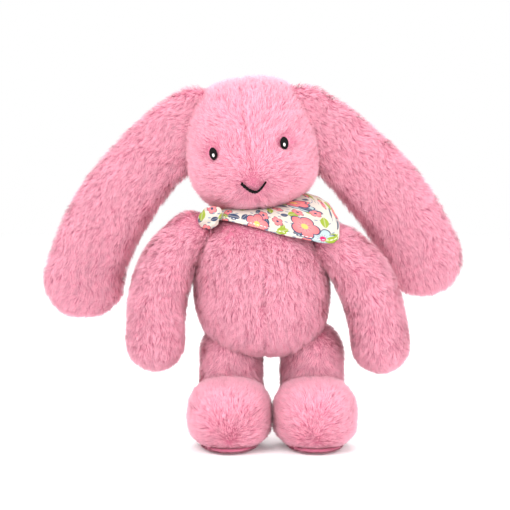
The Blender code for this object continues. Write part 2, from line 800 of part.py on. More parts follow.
clear_scene()
bunny = collection("stuffed_bunny")
torso_cutters = collection("torso_cutters", hidden=True)
seat_bag_cutters = collection("seat_bag_cutters", hidden=True)
tail_cutters = collection("tail_cutters", hidden=True)
ear_slot_cutters = collection("ear_slot_cutters", hidden=True)
stand = bpy.data.objects.new("stand", None)
stand.location = STAND_AT
bunny.objects.link(stand)
fur = material("pink_fur", PINK, 0.95)
short_fur = material("sole_fur", SOLE_PINK, 0.95)
stuffing = material("polyester_stuffing", WHITE_FILL, 1.0)
linen = material("bean_pouch", POUCH_LINEN, 0.9)
black = material("black_thread", BLACK_THREAD, 0.5)
white = material("white_thread", WHITE_THREAD, 0.5)
seam_thread = material("seam_thread", PINK_THREAD, 0.8)
cotton = material("printed_cotton", PRINTED_COTTON, 0.8)

torso_cover, torso_stuffing = build_torso()
head_cover, head_stuffing = build_head()
for each_side in (LEFT, RIGHT):
    build_ear(each_side)
    build_arm(each_side)
    build_leg(each_side)
    build_foot(each_side)
build_tail()
build_scarf()
for torso_piece in (torso_cover, torso_stuffing):
    cut(torso_piece, torso_cutters)
cut(torso_cover, tail_cutters)
cut(torso_stuffing, seat_bag_cutters)
for head_piece in (head_cover, head_stuffing):
    cut(head_piece, ear_slot_cutters)
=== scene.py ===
"""Looks of a stuffed bunny rabbit: plush skins with combed fur, stitched face,
printed neckerchief, plain studio."""

import json
from math import cos, pi, radians, sin

import bmesh
import bpy
import numpy as np
from mathutils import Euler, Matrix, Vector
from mathutils.kdtree import KDTree


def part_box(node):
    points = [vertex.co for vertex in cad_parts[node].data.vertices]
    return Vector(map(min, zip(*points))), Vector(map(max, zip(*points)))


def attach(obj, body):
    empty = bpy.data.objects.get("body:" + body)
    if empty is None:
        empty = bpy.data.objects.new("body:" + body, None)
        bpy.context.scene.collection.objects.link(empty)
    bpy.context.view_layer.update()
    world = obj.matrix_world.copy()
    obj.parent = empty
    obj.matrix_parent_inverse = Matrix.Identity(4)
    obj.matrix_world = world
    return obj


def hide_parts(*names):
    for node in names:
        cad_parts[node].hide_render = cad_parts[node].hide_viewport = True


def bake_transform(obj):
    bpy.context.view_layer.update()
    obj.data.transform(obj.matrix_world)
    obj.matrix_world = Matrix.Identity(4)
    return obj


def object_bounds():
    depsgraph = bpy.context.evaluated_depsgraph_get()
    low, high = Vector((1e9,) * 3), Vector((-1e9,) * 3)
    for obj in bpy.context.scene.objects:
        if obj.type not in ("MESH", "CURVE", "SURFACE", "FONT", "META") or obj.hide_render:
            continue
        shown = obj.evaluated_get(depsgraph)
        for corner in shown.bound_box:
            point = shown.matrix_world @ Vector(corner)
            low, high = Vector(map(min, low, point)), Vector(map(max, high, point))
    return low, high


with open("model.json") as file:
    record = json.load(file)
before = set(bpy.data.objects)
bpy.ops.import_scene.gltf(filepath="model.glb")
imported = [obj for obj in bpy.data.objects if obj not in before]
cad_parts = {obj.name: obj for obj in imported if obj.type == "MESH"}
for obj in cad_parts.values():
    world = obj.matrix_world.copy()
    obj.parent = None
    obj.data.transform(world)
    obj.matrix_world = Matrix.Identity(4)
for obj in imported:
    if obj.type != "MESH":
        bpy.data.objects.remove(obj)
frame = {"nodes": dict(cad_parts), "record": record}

CAD_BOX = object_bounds()
JOINTS = {joint["name"]: joint for joint in frame["record"]["behaviour"]["joints"]}
SIDES = {"left": 1, "right": -1}

DOWN = np.array([0.0, 0.0, -1.0])

# Fur: strands a square metre, their size, and their lean from the skin's normal
# in degrees. Tips are drawn towards the heart of their tuft.
FUR_DENSITY = 2.6e6
STRAND_LENGTH = 0.0070
STRAND_WIDTH = 0.00032
STRAND_SINK = 0.0004
LEAN_AT_ROOT = 30
LEAN_AT_TIP = 60
TUFT_STRANDS = 14
MOST_STRANDS = 60000
SOLE_PILE = 0.38

# Filling: voxel of the cloth, how far a skin may move, how much smaller it starts.
FILL_VOXEL = 0.0045
FILL_MOVE = 0.0025
FILL_FRAMES = 20
FILL_INSET = 0.0010

# Head: sizes, centre, tilt, and where its fur flows from.
NECK = np.array(JOINTS["neck_turn"]["pos_m"])
HEAD_HALF = np.array([0.0508, 0.0480, 0.0520])
HEAD_CENTRE = NECK + [-0.0046, 0.0, 0.0525]
HEAD_TURN = np.array(Euler((0, radians(-8.5), radians(-3.0))).to_matrix())
MUZZLE_REACH = 0.0030
FACE_SEAM_DEPTH = 0.0015
NOSE = np.array([[0.0, -0.046, -0.032]])

# Face stitching, in the head's own frame.
EYE_HALF = np.array([0.0036, 0.0017, 0.0050])
GLINT_HALF = np.array([0.0010, 0.0007, 0.0014])
MOUTH_HALF_WIDTH = 0.0090
MOUTH_Z = -0.0360
MOUTH_LIFT = 0.0026
MOUTH_THREAD = 0.00078
MOUTH_TWIST = 16

# Torso: half width and depth, and its dimple's place from the seat.
TORSO_HALF = np.array([0.0540, 0.0440])
DIMPLE_X, DIMPLE_Z = -0.002, 0.042
DIMPLE_DEPTH = 0.0050
BELLY_SEAM_DEPTH = 0.0010

# Ears: angles from straight down at root and tip, lean to the back, how far in
# front of their joints they sit, and a stretch either side of the fold, handed to dress with the ear's
# bodies.
EAR_ANGLES = {"right": (55, 8), "left": (58, 16)}
EAR_LEAN = {"right": 15, "left": 17}
EAR_LENGTH = {"right": 0.2325, "left": 0.2230}
EAR_RADII = (0.0290, 0.0345)
EAR_HALF_DEPTH = 0.0088
EAR_FORWARD = 0.0015
EAR_FOLD_REACH = 0.016

# Arms, legs and feet.
ARM_ANGLES = {"right": (50, -3), "left": (60, 4)}
ARM_LENGTH = 0.1360
ARM_RADII = (0.0185, 0.0210)
LEG_LENGTH = 0.0759
LEG_RADIUS = 0.0232
FOOT_HALF = np.array([0.0325, 0.0430, 0.0285])
FOOT_CENTRE_Z = 0.0270
FOOT_UNDERSIDE_Z = 0.0036
TOE = np.array([0.0, -0.044, -0.020])
SOLE_HALF = np.array([0.0225, 0.0335, 0.0026])
SOLE_FORWARD = 0.0030

# Neckerchief: pitch of its threads, its hem and its knot.
THREAD_PITCH = 0.00042
HEM_WIDTH = 0.0038
HEM_STITCH_AT = 0.0026
KNOT_AT = NECK + np.array([-37, -31, -5]) / 1000
KNOT_HALF = [0.0118, 0.0064, 0.0080]

# Studio: name, place, size and power of each lamp; the camera.
LAMPS = (
    ("key", (-0.55, -0.9, 1.15), 0.9, 14),
    ("fill", (0.9, -0.8, 0.7), 1.0, 7.5),
    ("back", (0.1, 0.9, 1.0), 0.8, 9),
)
CAMERA_LENS = 100
CAMERA_SENSOR = 36
VIEW_WIDTH = 0.4182
VIEW_ELEVATION = 4
VIEW_AIM = (0, 0, 0.154)

# Colours, linear.
# Root pinks are painted shade deep in the pile and tip pinks are painted light on its top; the mid pinks
# are the fur's own colour.
LIT_TIP_PINK = (0.98, 0.51, 0.61, 1)
MID_PINK = (0.97, 0.40, 0.53, 1)
SHADED_ROOT_PINK = (0.80, 0.22, 0.35, 1)
LIT_SOLE_TIP = (0.82, 0.26, 0.40, 1)
SOLE_MID = (0.70, 0.18, 0.31, 1)
SHADED_SOLE_ROOT = (0.50, 0.10, 0.20, 1)
CREAM = (0.68, 0.61, 0.54, 1)
DULL_CREAM = (0.64, 0.565, 0.49, 1)
STITCH_WHITE = (0.93, 0.90, 0.86, 1)
GREY = (0.25, 0.29, 0.36, 1)
CORAL = (0.80, 0.17, 0.18, 1)
PALE_BLUE = (0.42, 0.52, 0.53, 1)
SLATE = (0.045, 0.065, 0.13, 1)
LIME = (0.30, 0.38, 0.04, 1)
YELLOW = (0.88, 0.52, 0.14, 1)
MAGENTA = (0.62, 0.03, 0.15, 1)


# ---- node helper
def set_inputs(node, **values):
    """Sets a node's inputs; underscores stand for spaces."""
    for name, value in values.items():
        node.inputs[name.replace("_", " ")].default_value = value


class Nodes:
    """A material's node tree, with a short call for each kind of node."""

    def __init__(self, name):
        self.material = bpy.data.materials.new(name)
        self.material.use_nodes = True
        self.tree = self.material.node_tree
        self.shader = self.tree.nodes["Principled BSDF"]

    def add(self, kind, **settings):
        node = self.tree.nodes.new(kind)
        for key, value in settings.items():
            setattr(node, key, value)
        return node

    def link(self, source, target):
        self.tree.links.new(source, target)

    def feed(self, socket, value):
        if isinstance(value, bpy.types.NodeSocket):
            self.link(value, socket)
        else:
            socket.default_value = value

    def attribute(self, name):
        return self.add("ShaderNodeAttribute", attribute_name=name).outputs["Fac"]

    def place(self):
        """Place in the object's own space."""
        return self.add("ShaderNodeTexCoord").outputs["Object"]

    def wave(self, place, direction, scale, distortion=0.0):
        node = self.add("ShaderNodeTexWave", bands_direction=direction)
        set_inputs(node, Scale=scale, Distortion=distortion)
        self.link(place, node.inputs["Vector"])
        return node.outputs["Fac"]

    def axes(self, vector):
        """The X and Y of a vector."""
        node = self.add("ShaderNodeSeparateXYZ")
        self.link(vector, node.inputs[0])
        return node.outputs["X"], node.outputs["Y"]

    def math(self, operation, first, second=0.0, third=0.0, clamp=False):
        node = self.add("ShaderNodeMath", operation=operation, use_clamp=clamp)
        for socket, value in zip(node.inputs, (first, second, third)):
            self.feed(socket, value)
        return node.outputs[0]

    def times(self, first, second):
        return self.math("MULTIPLY", first, second)

    def mix(self, share, first, second, blend="MIX"):
        node = self.add("ShaderNodeMix", data_type="RGBA", blend_type=blend)
        self.feed(node.inputs["Factor"], share)
        self.feed(node.inputs["A"], first)
        self.feed(node.inputs["B"], second)
        return node.outputs["Result"]

    def noise(self, scale, detail=2.0, vector=None):
        node = self.add("ShaderNodeTexNoise")
        set_inputs(node, Scale=scale, Detail=detail)
        if vector is not None:
            self.link(vector, node.inputs["Vector"])
        return node.outputs["Fac"]

    def ramp(self, value, low, high):
        node = self.add("ShaderNodeMapRange", clamp=True)
        self.feed(node.inputs["Value"], value)
        set_inputs(node, From_Min=low, From_Max=high)
        return node.outputs[0]

    def vector(self, operation, first, second=(0, 0, 0)):
        node = self.add("ShaderNodeVectorMath", operation=operation)
        self.feed(node.inputs[0], first)
        self.feed(node.inputs[1], second)
        return node.outputs["Value" if operation == "LENGTH" else "Vector"]

    def cells(self, place, per_metre, shift):
        """Each point's offset from the heart of its cell, and the cell's random colour."""
        moved = self.vector("ADD", place, (shift, 0.7 * shift, 0))
        node = self.add("ShaderNodeTexVoronoi", voronoi_dimensions="2D")
        set_inputs(node, Scale=per_metre, Randomness=0.55)
        self.link(moved, node.inputs["Vector"])
        chance = self.add("ShaderNodeSeparateColor")
        self.link(node.outputs["Color"], chance.inputs[0])
        return self.vector("SUBTRACT", moved, node.outputs["Position"]), chance.outputs

    def polar(self, offset, turn):
        """Distance and angle of an offset, turned by a share of a full turn."""
        x, y = self.axes(offset)
        spin = self.math("MULTIPLY_ADD", turn, 6.283, self.math("ARCTAN2", y, x))
        return self.vector("LENGTH", offset), spin

    def below(self, value, limit, soft):
        """1 where value is under limit, fading over soft."""
        gap = self.math("SUBTRACT", limit, value)
        return self.math("DIVIDE", gap, soft, clamp=True)

    def bump(self, height, strength, distance):
        node = self.add("ShaderNodeBump")
        set_inputs(node, Strength=strength, Distance=distance)
        self.link(height, node.inputs["Height"])
        self.link(node.outputs[0], self.shader.inputs["Normal"])

    def finish(self, colour, roughness, sheen=0.0):
        self.feed(self.shader.inputs["Base Color"], colour)
        self.feed(self.shader.inputs["Roughness"], roughness)
        set_inputs(self.shader, Sheen_Weight=sheen, Specular_IOR_Level=0.25)
        return self.material


def fur_material(name, root, mid, tip):
    """Darker at the roots and lighter at the tips, as painted shade deep in the pile and painted light
    on its top; a tone for each strand, darker as painted shade where the fur is cut short, and soft
    patches.
    """
    nodes = Nodes(name)
    along, shade = nodes.attribute("along"), nodes.attribute("shade")
    lower = nodes.mix(nodes.ramp(along, 0.0, 0.55), root, mid)
    colour = nodes.mix(nodes.ramp(along, 0.5, 1.0), lower, tip)
    patches = nodes.noise(28.0, 3.0, nodes.place())
    value = nodes.math("MULTIPLY_ADD", shade, 0.34, 0.81)
    value = nodes.math("MULTIPLY_ADD", patches, 0.14, nodes.math("SUBTRACT", value, 0.07))
    bright = nodes.add("ShaderNodeHueSaturation")
    nodes.link(colour, bright.inputs["Color"])
    nodes.link(value, bright.inputs["Value"])
    set_inputs(nodes.shader, Sheen_Roughness=0.45, Sheen_Tint=(1.0, 0.78, 0.84, 1))
    return nodes.finish(bright.outputs[0], 0.8, 0.45)


def skin_material(name, colour):
    """Knitted backing cloth of the plush."""
    nodes = Nodes(name)
    place = nodes.place()
    dark = tuple(0.7 * c for c in colour[:3]) + (1,)
    shade = nodes.mix(nodes.noise(90.0, 3.0, place), dark, colour)
    nodes.bump(nodes.wave(place, "Z", 260.0, 2.0), 0.3, 0.0003)
    return nodes.finish(shade, 0.9, 0.2)


def stuffing_material():
    """Matted polyester fibre."""
    nodes = Nodes("fibre_filling")
    fibres = nodes.noise(600.0, 6.0, nodes.place())
    shade = nodes.mix(fibres, (0.72, 0.72, 0.70, 1), (0.93, 0.93, 0.91, 1))
    nodes.bump(fibres, 0.6, 0.0012)
    return nodes.finish(shade, 0.95, 0.3)


def weave_material(name, dark, light, pitch):
    """Plain weave, from two crossed waves in the object's own space."""
    nodes = Nodes(name)
    place = nodes.place()
    warp, weft = (nodes.wave(place, direction, 0.314 / pitch) for direction in "XZ")
    height = nodes.times(warp, weft)
    shade = nodes.mix(height, dark, light)
    nodes.bump(height, 0.5, 0.0002)
    return nodes.finish(shade, 0.85, 0.1)


def thread_material(name, dark, light, roughness, shine):
    """Twisted embroidery thread: fine slanted strands."""
    nodes = Nodes(name)
    strands = nodes.wave(nodes.place(), "DIAGONAL", 900.0, 1.5)
    shade = nodes.mix(strands, dark, light)
    nodes.bump(strands, 0.4, 0.0001)
    finished = nodes.finish(shade, roughness)
    set_inputs(nodes.shader, Specular_IOR_Level=shine)
    return finished


def floral_material():
    """Cotton printed with flowers, leaves and dashes on cream, in UV metres."""
    nodes = Nodes("printed_cotton")
    place = nodes.add("ShaderNodeUVMap", uv_map="cloth").outputs[0]
    colour = nodes.mix(nodes.noise(60.0, 3.0, place), DULL_CREAM, CREAM)
    colour = dashes(nodes, place, colour)
    colour = leaves(nodes, place, colour, 95.0, 0.31)
    colour = flower(nodes, place, colour, 34.0, 0.0092, 6, PALE_BLUE, MAGENTA, 0.17)
    colour = leaves(nodes, place, colour, 62.0, 0.83)
    colour = flower(nodes, place, colour, 66.0, 0.0043, 5, CORAL, SLATE, 0.53)
    colour = flower(nodes, place, colour, 30.0, 0.0100, 5, CORAL, YELLOW, 0.046)
    along, up = nodes.axes(place)
    weave = nodes.times(ripples(nodes, along, THREAD_PITCH), ripples(nodes, up, THREAD_PITCH))
    from_line = nodes.math("ABSOLUTE", nodes.math("SUBTRACT", up, HEM_STITCH_AT))
    dash = nodes.ramp(ripples(nodes, along, 0.0026), -0.5, -0.2)
    stitch = nodes.times(nodes.below(from_line, 0.00028, 0.0001), dash)
    colour = nodes.mix(stitch, colour, STITCH_WHITE)
    shaded = nodes.mix(nodes.ramp(weave, -1.0, 1.0), (0.93, 0.93, 0.93, 1), (1, 1, 1, 1))
    colour = nodes.mix(1.0, colour, shaded, "MULTIPLY")
    nodes.bump(nodes.math("MULTIPLY_ADD", stitch, 2.0, weave), 0.35, 0.0001)
    return nodes.finish(colour, 0.8, 0.08)


def ripples(nodes, value, pitch):
    return nodes.math("SINE", nodes.times(value, 2 * pi / pitch))


def flower(nodes, place, under, per_metre, radius, petals, petal_colour, heart_colour, shift):
    """One layer of outlined flowers over the colour underneath."""
    offset, chance = nodes.cells(place, per_metre, shift)
    distance, angle = nodes.polar(offset, chance[0])
    size = nodes.math("MULTIPLY_ADD", chance[1], 0.25 * radius, 0.85 * radius)
    ratio = nodes.math("DIVIDE", distance, size)
    lobe = nodes.math("ABSOLUTE", nodes.math("COSINE", nodes.times(angle, petals / 2)))
    edge = nodes.math("MULTIPLY_ADD", nodes.math("POWER", lobe, 0.6), 0.34, 0.64)
    shown = nodes.math("LESS_THAN", chance[2], 0.72)
    rim = nodes.times(nodes.below(ratio, nodes.math("ADD", edge, 0.07), 0.03), shown)
    inside = nodes.times(nodes.below(ratio, nodes.math("SUBTRACT", edge, 0.03), 0.03), shown)
    heart = nodes.times(nodes.below(ratio, 0.26, 0.04), shown)
    ray = nodes.math("COSINE", nodes.times(angle, 2 * petals))
    rays = nodes.times(nodes.ramp(ray, 0.75, 0.95), nodes.below(ratio, 0.46, 0.06))
    pale = tuple(0.85 * c + 0.12 for c in petal_colour[:3]) + (1,)
    petal = nodes.mix(nodes.ramp(ratio, 0.3, 0.9), pale, petal_colour)
    petal = nodes.mix(nodes.times(rays, 0.8), petal, SLATE)
    colour = nodes.mix(rim, under, SLATE)
    colour = nodes.mix(inside, colour, petal)
    return nodes.mix(heart, colour, heart_colour)


def leaves(nodes, place, under, per_metre, shift):
    """One layer of pointed leaves, slate or lime."""
    offset, chance = nodes.cells(place, per_metre, shift)
    turned = nodes.add("ShaderNodeVectorRotate", rotation_type="Z_AXIS")
    nodes.link(offset, turned.inputs["Vector"])
    nodes.link(nodes.times(chance[0], 6.283), turned.inputs["Angle"])
    along, aside = nodes.axes(turned.outputs[0])
    long = nodes.times(along, per_metre * 3.0)
    wide = nodes.math("ABSOLUTE", nodes.times(aside, per_metre * 5.5))
    reach = nodes.math("SUBTRACT", 1.0, nodes.times(long, long))
    leaf = nodes.below(wide, reach, 0.12)
    vein = nodes.times(nodes.below(wide, 0.14, 0.05), 0.35)
    kind = nodes.mix(nodes.math("LESS_THAN", chance[2], 0.45), SLATE, LIME)
    kind = nodes.mix(vein, kind, CREAM)
    shown = nodes.math("LESS_THAN", chance[1], 0.75)
    return nodes.mix(nodes.times(leaf, shown), under, kind)


def dashes(nodes, place, under):
    """Short grey strokes between the flowers."""
    offset, chance = nodes.cells(place, 260.0, 0.11)
    squeezed = nodes.vector("MULTIPLY", offset, (0.45, 1.0, 1.0))
    dot = nodes.below(nodes.vector("LENGTH", squeezed), 0.0007, 0.0002)
    shown = nodes.math("LESS_THAN", chance[1], 0.35)
    return nodes.mix(nodes.times(dot, shown), under, GREY)


# ---- shapes
def ease(t):
    """0 to 1 with a smooth start and stop."""
    t = np.clip(t, 0.0, 1.0)
    return t * t * (3 - 2 * t)


def bell(distance, width):
    """1 at distance 0, and near 0 at twice the width."""
    return np.exp(-((distance / width) ** 2))


def unit_rows(vectors):
    return vectors / np.maximum(np.linalg.norm(vectors, axis=1), 1e-12)[:, None]


def sphere_form(name, segments, rings, place):
    """A unit sphere whose points are moved by place((n, 3) array).

    Blender lists a sphere's faces in another order each run. They are sorted,
    so that the fur's random places come out the same each time."""
    bm = bmesh.new()
    bmesh.ops.create_uvsphere(bm, u_segments=segments, v_segments=rings, radius=1)
    mesh = bpy.data.meshes.new(name)
    bm.to_mesh(mesh)
    bm.free()
    points = read_points(mesh)
    faces = sorted(tuple(face.vertices) for face in mesh.polygons)
    mesh.clear_geometry()
    mesh.from_pydata(place(points), [], faces)
    mesh.shade_smooth()
    fix_normals(mesh)
    return place_in_scene(name, mesh)


def fix_normals(mesh):
    """Turns every face outwards."""
    bm = bmesh.new()
    bm.from_mesh(mesh)
    bmesh.ops.recalc_face_normals(bm, faces=bm.faces)
    if bm.calc_volume(signed=True) < 0:
        bmesh.ops.reverse_faces(bm, faces=bm.faces)
    bm.to_mesh(mesh)
    bm.free()


def read_rows(items, attribute, kind=np.float32):
    rows = np.empty(len(items) * 3, kind)
    items.foreach_get(attribute, rows)
    return rows.reshape(-1, 3)


def read_points(mesh):
    return read_rows(mesh.vertices, "co").astype(float)


def write_points(mesh, points):
    mesh.vertices.foreach_set("co", points.astype(np.float32).ravel())
    mesh.update()


def wobble(points, scale, seed):
    """Smooth noise of about -1 to 1 from a few crossed sine waves."""
    random = np.random.default_rng(seed)
    total = np.zeros(len(points))
    for _ in range(5):
        direction = random.normal(size=3)
        direction /= np.linalg.norm(direction)
        phase = random.uniform(0, 2 * pi)
        total += np.sin(points @ direction * (2 * pi / scale) * random.uniform(0.7, 1.4) + phase)
    return total / 3.0


class Limb:
    """A flattened tube along a line that bends in a plane, round at both ends.

    Angles are from straight down; width and depth give half sizes along it."""

    STEPS = 64

    def __init__(self, name, side, origin, lean, length, angles, radii, width, depth, bend=1.0):
        self.name = name
        self.side = side
        self.origin = origin
        self.turn = np.array(Matrix.Rotation(radians(lean), 3, "X"))
        self.length = length
        self.angles = np.radians(angles)
        self.radii = radii
        self.width = width
        self.depth = depth
        self.bend = bend
        step = (length - radii[0]) / self.STEPS
        shares = (np.arange(self.STEPS) + 0.5) / self.STEPS
        moves = self.direction(shares) * step
        self.line = np.vstack([np.zeros(3), np.cumsum(moves, axis=0)])

    def angle(self, share):
        left = (1 - np.clip(share, 0, 1)) ** self.bend
        return self.angles[1] + (self.angles[0] - self.angles[1]) * left

    def direction(self, share):
        a = self.angle(share)
        return np.stack([self.side * np.sin(a), np.zeros_like(a), -np.cos(a)], axis=-1)

    def across(self, share):
        a = self.angle(share)
        return np.stack([self.side * np.cos(a), np.zeros_like(a), np.sin(a)], axis=-1)

    def centre(self, distance):
        share = (distance - self.radii[0]) / (self.length - self.radii[0])
        place = np.clip(share, 0, 1) * self.STEPS
        low = np.minimum(place.astype(int), self.STEPS - 1)
        part = (place - low)[:, None]
        on_line = self.line[low] * (1 - part) + self.line[low + 1] * part
        before = np.minimum(distance - self.radii[0], 0)[:, None]
        return on_line + before * self.direction(np.zeros_like(distance))

    def form(self, segments, rings, inset=0.0):
        """The tube, smaller all round by inset."""

        def place(unit):
            turn = np.arccos(np.clip(unit[:, 2], -1, 1))
            around = np.arctan2(unit[:, 1], unit[:, 0])
            root, tip = self.radii[0] - inset, self.radii[1] - inset
            third = pi / 3
            root_beta = np.clip(turn / third, 0, 1) * pi / 2
            tip_beta = np.clip((pi - turn) / third, 0, 1) * pi / 2
            share = np.clip((turn - third) / third, 0, 1)
            middle = self.radii[0] + share * (self.length - sum(self.radii))
            distance = np.where(turn < third, self.radii[0] - root * np.cos(root_beta), middle)
            distance = np.where(
                turn > 2 * third, self.length - self.radii[1] + tip * np.cos(tip_beta), distance
            )
            roundness = np.minimum(np.sin(root_beta), np.sin(tip_beta))
            share = (distance - self.radii[0]) / (self.length - self.radii[0])
            width, depth = self.width(share) - inset, self.depth(share) - inset
            flat = np.cos(around) * (1.5 - 0.5 * np.cos(around) ** 2)
            sideways = (width - depth) * flat + depth * np.cos(around)
            point = self.centre(distance)
            point = point + self.across(share) * (sideways * roundness)[:, None]
            point[:, 1] += np.sin(around) * roundness * depth
            return point @ self.turn.T + self.origin

        return sphere_form(self.name, segments, rings, place)

    def comb(self, points):
        """Down the limb, from the nearest place on its line."""
        line = self.line @ self.turn.T + self.origin
        shares = np.linspace(0, 1, self.STEPS + 1)
        nearest = np.zeros(len(points), int)
        best = np.full(len(points), 1e9)
        for i, place in enumerate(line):
            away = ((points - place) ** 2).sum(axis=1)
            closer = away < best
            best[closer] = away[closer]
            nearest[closer] = i
        return self.direction(shares[nearest]) @ self.turn.T


# ---- fur
def scatter(mesh, density, random):
    """Random places on the mesh and the normals there."""
    mesh.calc_loop_triangles()
    points = read_points(mesh)
    normals = read_rows(mesh.vertices, "normal").astype(float)
    corners = read_rows(mesh.loop_triangles, "vertices", np.int32)
    a, b, c = (points[corners[:, i]] for i in range(3))
    area = np.linalg.norm(np.cross(b - a, c - a), axis=1) / 2
    count = int(area.sum() * density)
    chosen = random.choice(len(area), count, p=area / area.sum())
    u, v = random.random(count), random.random(count)
    over = u + v > 1
    u[over], v[over] = 1 - u[over], 1 - v[over]
    weights = np.stack([1 - u - v, u, v], axis=1)
    root = np.einsum("ij,ijk->ik", weights, points[corners[chosen]])
    normal = unit_rows(np.einsum("ij,ijk->ik", weights, normals[corners[chosen]]))
    return root, normal


def grow_fur(name, skin, comb, finish, seed, trim=None):
    """Meshes of thin tapered strands on the skin, combed along comb(points)."""
    random = np.random.default_rng(seed)
    root, normal = scatter(skin.data, FUR_DENSITY, random)
    count = len(root)
    along = comb(root)
    along = unit_rows(along - normal * (along * normal).sum(axis=1)[:, None])
    aside = np.cross(normal, along)
    turn = 0.45 * wobble(root, 0.030, seed + 10) + 0.30 * wobble(root, 0.009, seed + 20)
    turn += random.normal(0, 0.24, count)
    comb_to = along * np.cos(turn)[:, None] + aside * np.sin(turn)[:, None]

    kept = np.ones(count) if trim is None else trim(root)
    size = STRAND_LENGTH * random.uniform(0.75, 1.1, count) * kept
    lift = 0.13 * wobble(root, 0.012, seed + 30) + random.normal(0, 0.13, count)
    first, second = radians(LEAN_AT_ROOT) + lift, radians(LEAN_AT_TIP) + lift
    half = (size / 2)[:, None]
    start = root - normal * STRAND_SINK
    middle = start + half * (normal * np.cos(first)[:, None] + comb_to * np.sin(first)[:, None])
    end = middle + half * (normal * np.cos(second)[:, None] + comb_to * np.sin(second)[:, None])

    clump_of = nearest_clump(root, random)
    pull = random.uniform(0.1, 0.45, count)[:, None]
    lean_to = (end - root)[clump_of] + root[clump_of]
    end = end + (lean_to - end) * pull
    middle = middle + (lean_to - end) * pull * 0.15

    roll = random.normal(0, 0.5, count)
    side = unit_rows(np.cross(comb_to, normal))
    side = side * np.cos(roll)[:, None] + normal * np.sin(roll)[:, None]
    wide = side * (STRAND_WIDTH / 2)
    corners = (start - wide, start + wide, middle - 0.8 * wide, middle + 0.8 * wide, end)
    vertices = np.stack(corners, axis=1)
    vertices[:, :, 2] = np.maximum(vertices[:, :, 2], 0.0001)
    shade = 0.55 + 0.25 * wobble(root, 0.006, seed + 40) + random.normal(0, 0.18, count)
    # Strands cut short are darker: painted shade where the fur dips at seams, the dimple and round the
    # eyes and mouth, painted shadow under the neckerchief, and painted shade low on the feet and on the
    # soles.
    shade -= 0.8 * np.maximum(0.9 - kept, 0)
    shade = np.clip(shade, 0, 1)

    parts = -(-count // MOST_STRANDS)
    furs = []
    for number in range(parts):
        some = slice(number * count // parts, (number + 1) * count // parts)
        full_name = name if parts == 1 else f"{name}_{number + 1}"
        furs.append(strand_mesh(full_name, vertices[some], normal[some], shade[some]))
        furs[-1].data.materials.append(finish)
    return furs


def nearest_clump(root, random):
    """For each strand, the strand at the heart of its tuft."""
    hearts = random.choice(len(root), max(len(root) // TUFT_STRANDS, 1), replace=False)
    tree = KDTree(len(hearts))
    for place, index in enumerate(hearts):
        tree.insert(root[index], place)
    tree.balance()
    return np.array([hearts[tree.find(point)[1]] for point in root])


def strand_mesh(name, strands, normal, shade):
    """Each strand is a strip of two triangles and a pointed third."""
    count = len(strands)
    vertices = strands.reshape(-1, 3)
    pattern = np.array([[0, 1, 3], [0, 3, 2], [2, 3, 4]])
    faces = (np.arange(count)[:, None, None] * 5 + pattern).reshape(-1, 3)
    mesh = mesh_from(name, vertices, faces)
    level = mesh.attributes.new("along", "FLOAT", "POINT")
    level.data.foreach_set("value", np.tile([0, 0, 0.5, 0.5, 1], count).astype(np.float32))
    tone_and_painted_shade = mesh.attributes.new("shade", "FLOAT", "POINT")
    tone_and_painted_shade.data.foreach_set("value", np.repeat(shade, 5).astype(np.float32))
    lay_out_for_bake(mesh, faces, count)
    mesh.normals_split_custom_set_from_vertices(np.repeat(normal, 5, axis=0))
    return place_in_scene(name, mesh)


def mesh_from(name, vertices, faces):
    """A smooth mesh from rows of points and rows of corner numbers."""
    size = faces.shape[1]
    mesh = bpy.data.meshes.new(name)
    mesh.vertices.add(len(vertices))
    mesh.vertices.foreach_set("co", vertices.astype(np.float32).ravel())
    mesh.loops.add(faces.size)
    mesh.loops.foreach_set("vertex_index", faces.astype(np.int32).ravel())
    mesh.polygons.add(len(faces))
    mesh.polygons.foreach_set("loop_start", np.arange(0, faces.size, size, dtype=np.int32))
    mesh.update(calc_edges=True)
    mesh.polygons.foreach_set("use_smooth", np.ones(len(faces), bool))
    return mesh


def place_in_scene(name, data):
    obj = bpy.data.objects.new(name, data)
    bpy.context.scene.collection.objects.link(obj)
    return obj


def lay_out_for_bake(mesh, faces, count):
    """One small cell of the UV square for each strand, root at the bottom."""
    columns = int(np.ceil(np.sqrt(count)))
    cell = 1.0 / columns
    index = np.arange(count)
    corner = np.stack([index % columns, index // columns], axis=1) * cell
    shape = np.array([[0.1, 0.1], [0.9, 0.1], [0.1, 0.5], [0.9, 0.5], [0.5, 0.9]]) * cell
    uv = (corner[:, None, :] + shape).reshape(-1, 2)
    layer = mesh.uv_layers.new(name="OFBake")
    layer.data.foreach_set("uv", uv[faces.ravel()].astype(np.float32).ravel())


def dress(skin, comb, body, seed, trim=None, finish=None):
    """Gives a skin its backing cloth and fur, attached to a body when body is a name; otherwise they
    stay in place, unattached.
    """
    skin.data.materials.clear()
    skin.data.materials.append(BACKING)
    name = skin.name.replace("skin", "fur")
    for piece in [skin] + grow_fur(name, skin, comb, finish or FUR, seed, trim):
        if isinstance(body, str):
            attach(piece, body)
        else:
            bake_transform(piece)


def add_finished(piece, node, body, finish):
    """Puts a piece of one material in the place of a CAD node."""
    piece.data.materials.append(finish)
    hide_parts(node)
    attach(piece, body)


